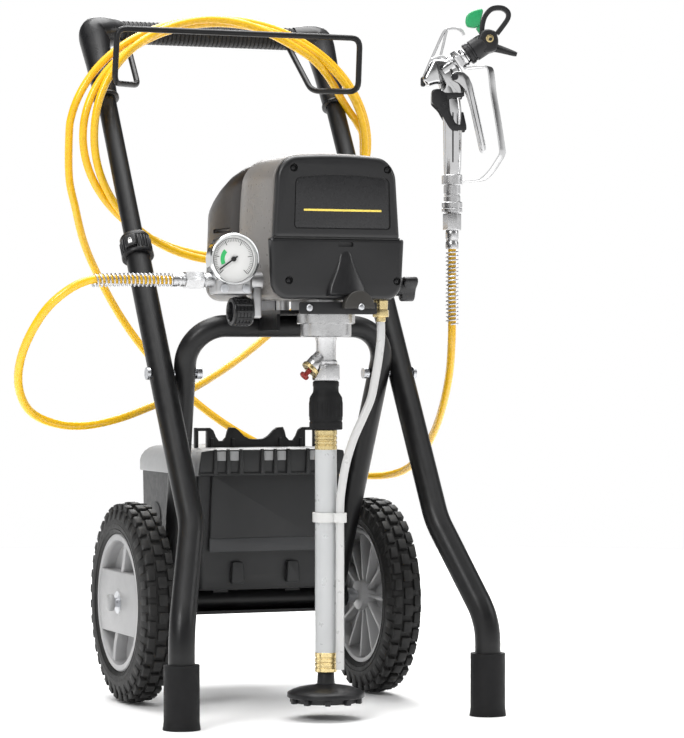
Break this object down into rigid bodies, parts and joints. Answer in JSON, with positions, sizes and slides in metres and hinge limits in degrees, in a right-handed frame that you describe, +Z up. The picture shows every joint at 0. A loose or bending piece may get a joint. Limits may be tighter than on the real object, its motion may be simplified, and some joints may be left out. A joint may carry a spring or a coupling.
{
  "type": "airless paint sprayer",
  "caption": "Airless paint sprayer on a wheeled tubular cart: piston pump with suction tube, pressure gauge, toolbox, coiled hose and spray gun.",
  "frame": {"origin": "on the floor under the middle of the machine's footprint, measured without the hose", "axes": "+Z up, +X to the operator's right seen from the front, +Y from the front of the machine towards the wheels and the handle"},
  "size_m": [0.6884, 0.5401, 0.9079],
  "materials": {
    "frame_black": "satin black powder coat",
    "foot_rubber": "matt moulded rubber",
    "steel": "zinc plated",
    "black_plastic": "fine moulded grain",
    "grip_rubber": "ribbed soft rubber",
    "shell_taupe": "warm grey with a soft sheen",
    "cap_brown": "dark brown black, fine grain",
    "cover_charcoal": "charcoal, fine grain",
    "screw_black": "blackened screws",
    "cast_metal": "die cast and machined",
    "stator_steel": "stacked steel and windings",
    "pump_silver": "bright nickel plate",
    "brass": "turned brass",
    "clear_hose": "milky translucent",
    "box_black": "moulded, fine grain",
    "lid_grey": "light grey, fine grain",
    "tyre": "moulded tread",
    "rim_grey": "light grey moulded",
    "switch_red": "glossy",
    "drive_steel": "ground steel",
    "gun_silver": "polished nickel",
    "gun_black": "fine grain",
    "tip_green": "glossy",
    "hose_yellow": "smooth hose cover"
  },
  "bodies": {
    "cart": {"leg_tube_left": "frame_black", "leg_tube_right": "frame_black", "foot_caps": "foot_rubber", "u_frame": "frame_black", "axle_tube": "frame_black", "axle": "steel", "wheel_caps": "black_plastic", "frame_bolts": "steel", "mount_bracket": "frame_black", "tube_bushes": "black_plastic", "motor_shell": "shell_taupe", "rear_cap": "cap_brown", "front_cover": "cover_charcoal", "lower_cover": "cover_charcoal", "cover_screws": "screw_black", "guard_plate": "black_plastic", "gear_case": "cast_metal", "motor_stator": "stator_steel", "pump_cylinder": "cast_metal", "union_nut": "pump_silver", "inlet_body": "pump_silver", "suction_boot": "black_plastic", "brass_fittings": "brass", "suction_hose": "clear_hose", "strainer_disc": "black_plastic", "return_tube": "clear_hose", "tube_clip": "clear_hose", "outlet_manifold": "cast_metal", "gauge_case": "pump_silver", "cable_gland": "black_plastic", "toolbox": "box_black", "hose_pump_lead": "hose_yellow", "hose_gun_lead": "hose_yellow", "hose_fittings": "gun_silver"},
    "handle": {"handle_tubes": "frame_black", "handle_corners": "black_plastic", "hand_grip": "grip_rubber", "hose_hanger": "frame_black", "hose_coil": "hose_yellow"},
    "collar_left": {"collar_left": "black_plastic"},
    "collar_right": {"collar_right": "black_plastic"},
    "wheel_left": {"tyre_left": "tyre", "rim_left": "rim_grey"},
    "wheel_right": {"tyre_right": "tyre", "rim_right": "rim_grey"},
    "box_lid": {"toolbox_lid": "lid_grey", "lid_rack": "black_plastic"},
    "prime_knob": {"prime_knob": "black_plastic"},
    "pressure_knob": {"pressure_knob": "black_plastic"},
    "power_switch": {"power_switch": "switch_red"},
    "inlet_pusher": {"inlet_pusher": "switch_red"},
    "rotor": {"rotor": "drive_steel"},
    "drive_gear": {"drive_gear": "drive_steel"},
    "piston": {"piston_rod": "drive_steel"},
    "gauge_pointer": {"gauge_pointer": "black_plastic"},
    "gun": {"gun_body": "gun_silver"},
    "gun_trigger": {"gun_trigger": "gun_silver"},
    "trigger_lock": {"trigger_lock": "gun_black"},
    "tip_guard": {"tip_guard": "gun_black"},
    "spray_tip": {"spray_tip": "tip_green"}
  },
  "joints": [
    {"name": "handle_slide", "type": "slide", "parent": "cart", "child": "handle", "axis": [0, 0.5417, 0.8405], "range_m": [-0.15, 0], "deforming": ["hose_pump_lead", "hose_gun_lead", "hose_coil"]},
    {"name": "collar_left_turn", "type": "hinge", "parent": "cart", "child": "collar_left", "pos_m": [-0.20425, 0.043, 0.574], "axis": [0, 0.5417, 0.8405], "range_deg": [0, 90]},
    {"name": "collar_right_turn", "type": "hinge", "parent": "cart", "child": "collar_right", "pos_m": [0.12235, 0.043, 0.574], "axis": [0, 0.5417, 0.8405], "range_deg": [0, 90]},
    {"name": "wheel_left_spin", "type": "hinge", "parent": "cart", "child": "wheel_left", "pos_m": [-0.20795, 0.05538, 0.13], "axis": [1, 0, 0], "continuous": true},
    {"name": "wheel_right_spin", "type": "hinge", "parent": "cart", "child": "wheel_right", "pos_m": [0.12605, 0.05538, 0.13], "axis": [1, 0, 0], "continuous": true},
    {"name": "box_lid_hinge", "type": "hinge", "parent": "cart", "child": "box_lid", "pos_m": [-0.04095, 0.23738, 0.299], "axis": [-1, 0, 0], "range_deg": [0, 85]},
    {"name": "prime_knob_turn", "type": "hinge", "parent": "cart", "child": "prime_knob", "pos_m": [-0.15295, -0.20462, 0.502], "axis": [-1, 0, 0], "range_deg": [0, 90]},
    {"name": "pressure_knob_turn", "type": "hinge", "parent": "cart", "child": "pressure_knob", "pos_m": [0.05505, -0.19462, 0.535], "axis": [1, 0, 0], "range_deg": [0, 270]},
    {"name": "power_switch_rock", "type": "hinge", "parent": "cart", "child": "power_switch", "pos_m": [-0.09095, 0.00138, 0.563], "axis": [1, 0, 0], "range_deg": [0, 20]},
    {"name": "inlet_pusher_push", "type": "slide", "parent": "cart", "child": "inlet_pusher", "axis": [0.7071, 0, 0.7071], "range_m": [0, 0.004], "stiffness_N_per_m": 400},
    {"name": "drive_gear_spin", "type": "hinge", "parent": "cart", "child": "drive_gear", "pos_m": [-0.04095, -0.16762, 0.625], "axis": [0, 1, 0], "continuous": true},
    {"name": "rotor_spin", "type": "hinge", "parent": "cart", "child": "rotor", "pos_m": [-0.04095, -0.16762, 0.577], "axis": [0, 1, 0], "continuous": true},
    {"name": "piston_stroke", "type": "slide", "parent": "cart", "child": "piston", "axis": [0, 0, 1], "range_m": [-0.012, 0.012]},
    {"name": "gauge_pointer_turn", "type": "hinge", "parent": "cart", "child": "gauge_pointer", "pos_m": [-0.17395, -0.23462, 0.565], "axis": [0, 1, 0], "range_deg": [0, 250]},
    {"name": "gun_swivel", "type": "hinge", "parent": "cart", "child": "gun", "pos_m": [0.19005, -0.06462, 0.617], "axis": [0, 0, 1], "continuous": true},
    {"name": "trigger_pull", "type": "hinge", "parent": "gun", "child": "gun_trigger", "pos_m": [0.19285, -0.0657, 0.811], "axis": [0.3584, 0.9336, 0], "range_deg": [0, 9], "stiffness_Nm_per_rad": 1.5},
    {"name": "trigger_lock_turn", "type": "hinge", "parent": "gun", "child": "trigger_lock", "pos_m": [0.17978, -0.06068, 0.774], "axis": [-0.3584, -0.9336, 0], "range_deg": [0, 8]},
    {"name": "tip_guard_turn", "type": "hinge", "parent": "gun", "child": "tip_guard", "pos_m": [0.22342, -0.07743, 0.85155], "axis": [0.774, -0.2971, 0.5592], "range_deg": [0, 90]},
    {"name": "spray_tip_turn", "type": "hinge", "parent": "tip_guard", "child": "spray_tip", "pos_m": [0.23348, -0.08129, 0.85882], "axis": [-0.5221, 0.2004, 0.829], "range_deg": [0, 180]}
  ],
  "couplings": [
    {"joint": "rotor_spin", "follows": "drive_gear_spin", "ratio": -4}
  ]
}
